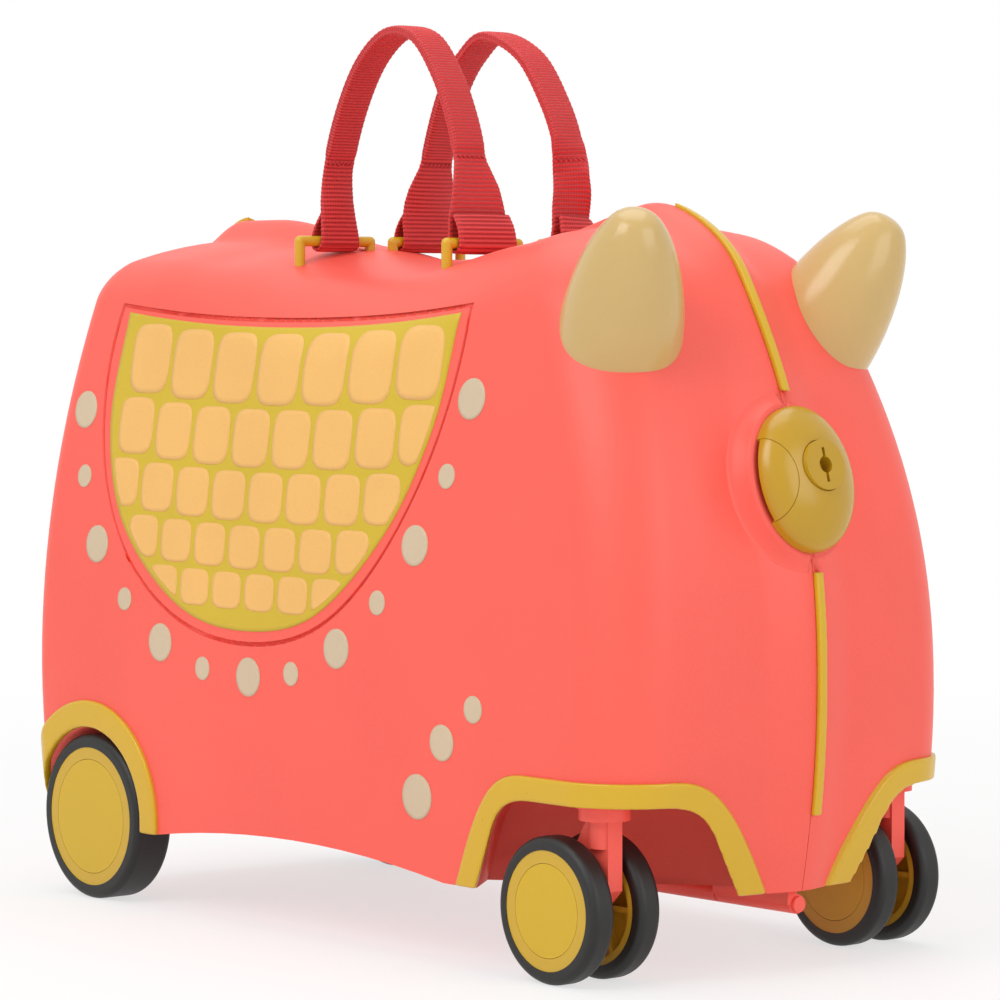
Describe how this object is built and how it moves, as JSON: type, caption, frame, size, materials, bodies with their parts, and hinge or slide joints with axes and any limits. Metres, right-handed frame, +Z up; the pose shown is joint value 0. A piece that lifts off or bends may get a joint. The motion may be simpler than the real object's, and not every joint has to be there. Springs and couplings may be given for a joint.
{
  "type": "ride-on suitcase",
  "caption": "Hard-shell child's suitcase with a saddle top to sit on, horn grips to hold, webbing handles, locking catches at both ends, rear wheels and twin-wheel swivel casters.",
  "frame": {"origin": "on the floor under the middle of the case", "axes": "+X to the front, where the horn grips are, +Y to the rider's left, +Z up"},
  "size_m": [0.4724, 0.2084, 0.417],
  "materials": {
    "shell_plastic": "satin moulded shell",
    "trim_plastic": "glossy moulded trim",
    "grip_rubber": "matt soft grip",
    "webbing": "woven webbing",
    "tyre_rubber": "matt tread",
    "wheel_plastic": "moulded wheel",
    "cap_plastic": "moulded cap",
    "fork_plastic": "moulded fork and hinge pin",
    "steel": "drawn steel"
  },
  "bodies": {
    "right_half": {"right_shell": "shell_plastic", "right_rear_arch_trim": "trim_plastic", "right_front_arch_trim": "trim_plastic", "right_horn_grip": "grip_rubber", "right_horn_screw": "steel", "right_handle_tabs": "webbing", "right_handle_bars": "trim_plastic", "right_rear_axle": "steel", "right_caster_bush": "fork_plastic", "catch_keepers": "steel", "hinge_pin": "fork_plastic"},
    "right_handle": {"right_handle_strap": "webbing"},
    "right_rear_wheel": {"right_rear_rim": "wheel_plastic", "right_rear_tyre": "tyre_rubber", "right_rear_cap": "cap_plastic"},
    "right_caster_swivel": {"right_caster_fork": "fork_plastic", "right_caster_axle": "steel", "right_caster_retainer": "steel"},
    "right_caster_outer_wheel": {"right_caster_outer_rim": "wheel_plastic", "right_caster_outer_tyre": "tyre_rubber", "right_caster_outer_cap": "cap_plastic"},
    "right_caster_inner_wheel": {"right_caster_inner_rim": "wheel_plastic", "right_caster_inner_tyre": "tyre_rubber", "right_caster_inner_cap": "cap_plastic"},
    "left_half": {"left_shell": "shell_plastic", "left_rear_arch_trim": "trim_plastic", "left_front_arch_trim": "trim_plastic", "left_horn_grip": "grip_rubber", "left_horn_screw": "steel", "left_handle_tabs": "webbing", "left_handle_bars": "trim_plastic", "left_rear_axle": "steel", "left_caster_bush": "fork_plastic", "front_seam_strips": "trim_plastic", "rear_seam_strips": "trim_plastic", "front_catch_base": "trim_plastic", "front_catch_cover": "trim_plastic", "front_catch_spring": "steel", "rear_catch_base": "trim_plastic", "rear_catch_cover": "trim_plastic", "rear_catch_spring": "steel", "catch_screws": "steel"},
    "left_handle": {"left_handle_strap": "webbing"},
    "left_rear_wheel": {"left_rear_rim": "wheel_plastic", "left_rear_tyre": "tyre_rubber", "left_rear_cap": "cap_plastic"},
    "left_caster_swivel": {"left_caster_fork": "fork_plastic", "left_caster_axle": "steel", "left_caster_retainer": "steel"},
    "left_caster_outer_wheel": {"left_caster_outer_rim": "wheel_plastic", "left_caster_outer_tyre": "tyre_rubber", "left_caster_outer_cap": "cap_plastic"},
    "left_caster_inner_wheel": {"left_caster_inner_rim": "wheel_plastic", "left_caster_inner_tyre": "tyre_rubber", "left_caster_inner_cap": "cap_plastic"},
    "front_button": {"front_catch_button": "trim_plastic"},
    "front_lock": {"front_lock_barrel": "trim_plastic"},
    "rear_button": {"rear_catch_button": "trim_plastic"},
    "rear_lock": {"rear_lock_barrel": "trim_plastic"}
  },
  "joints": [
    {"name": "case_hinge", "type": "hinge", "parent": "right_half", "child": "left_half", "pos_m": [0, 0, 0.03], "axis": [-1, 0, 0], "range_deg": [0, 110]},
    {"name": "right_handle_swing", "type": "hinge", "parent": "right_half", "child": "right_handle", "pos_m": [-0.0145, -0.028, 0.34017], "axis": [1, 0, 0], "range_deg": [-8, 90], "stiffness_Nm_per_rad": 0.06},
    {"name": "right_rear_spin", "type": "hinge", "parent": "right_half", "child": "right_rear_wheel", "pos_m": [-0.1674, -0.0919, 0.0399], "axis": [0, 1, 0], "continuous": true},
    {"name": "right_swivel", "type": "hinge", "parent": "right_half", "child": "right_caster_swivel", "pos_m": [0.1875, -0.0845, 0.08], "axis": [0, 0, 1], "continuous": true},
    {"name": "right_caster_outer_spin", "type": "hinge", "parent": "right_caster_swivel", "child": "right_caster_outer_wheel", "pos_m": [0.1715, -0.0975, 0.0316], "axis": [0, 1, 0], "continuous": true},
    {"name": "right_caster_inner_spin", "type": "hinge", "parent": "right_caster_swivel", "child": "right_caster_inner_wheel", "pos_m": [0.1715, -0.0715, 0.0316], "axis": [0, 1, 0], "continuous": true},
    {"name": "left_handle_swing", "type": "hinge", "parent": "left_half", "child": "left_handle", "pos_m": [-0.0145, 0.028, 0.34017], "axis": [-1, 0, 0], "range_deg": [-8, 90], "stiffness_Nm_per_rad": 0.06},
    {"name": "left_rear_spin", "type": "hinge", "parent": "left_half", "child": "left_rear_wheel", "pos_m": [-0.1674, 0.0919, 0.0399], "axis": [0, 1, 0], "continuous": true},
    {"name": "left_swivel", "type": "hinge", "parent": "left_half", "child": "left_caster_swivel", "pos_m": [0.1875, 0.0845, 0.08], "axis": [0, 0, 1], "continuous": true},
    {"name": "left_caster_outer_spin", "type": "hinge", "parent": "left_caster_swivel", "child": "left_caster_outer_wheel", "pos_m": [0.1715, 0.0975, 0.0316], "axis": [0, 1, 0], "continuous": true},
    {"name": "left_caster_inner_spin", "type": "hinge", "parent": "left_caster_swivel", "child": "left_caster_inner_wheel", "pos_m": [0.1715, 0.0715, 0.0316], "axis": [0, 1, 0], "continuous": true},
    {"name": "front_button_press", "type": "slide", "parent": "left_half", "child": "front_button", "axis": [-0.9661, 0, -0.2583], "range_m": [0, 0.0025], "stiffness_N_per_m": 600, "springref_m": -0.003, "deforming": ["front_catch_spring"]},
    {"name": "front_lock_turn", "type": "hinge", "parent": "left_half", "child": "front_lock", "pos_m": [0.21715, 0, 0.2149], "axis": [0.9661, 0, 0.2583], "range_deg": [0, 90]},
    {"name": "rear_button_press", "type": "slide", "parent": "left_half", "child": "rear_button", "axis": [0.9916, 0, -0.1294], "range_m": [0, 0.0025], "stiffness_N_per_m": 600, "springref_m": -0.003, "deforming": ["rear_catch_spring"]},
    {"name": "rear_lock_turn", "type": "hinge", "parent": "left_half", "child": "rear_lock", "pos_m": [-0.21813, 0, 0.21497], "axis": [0.9916, 0, -0.1294], "range_deg": [0, 90]}
  ]
}
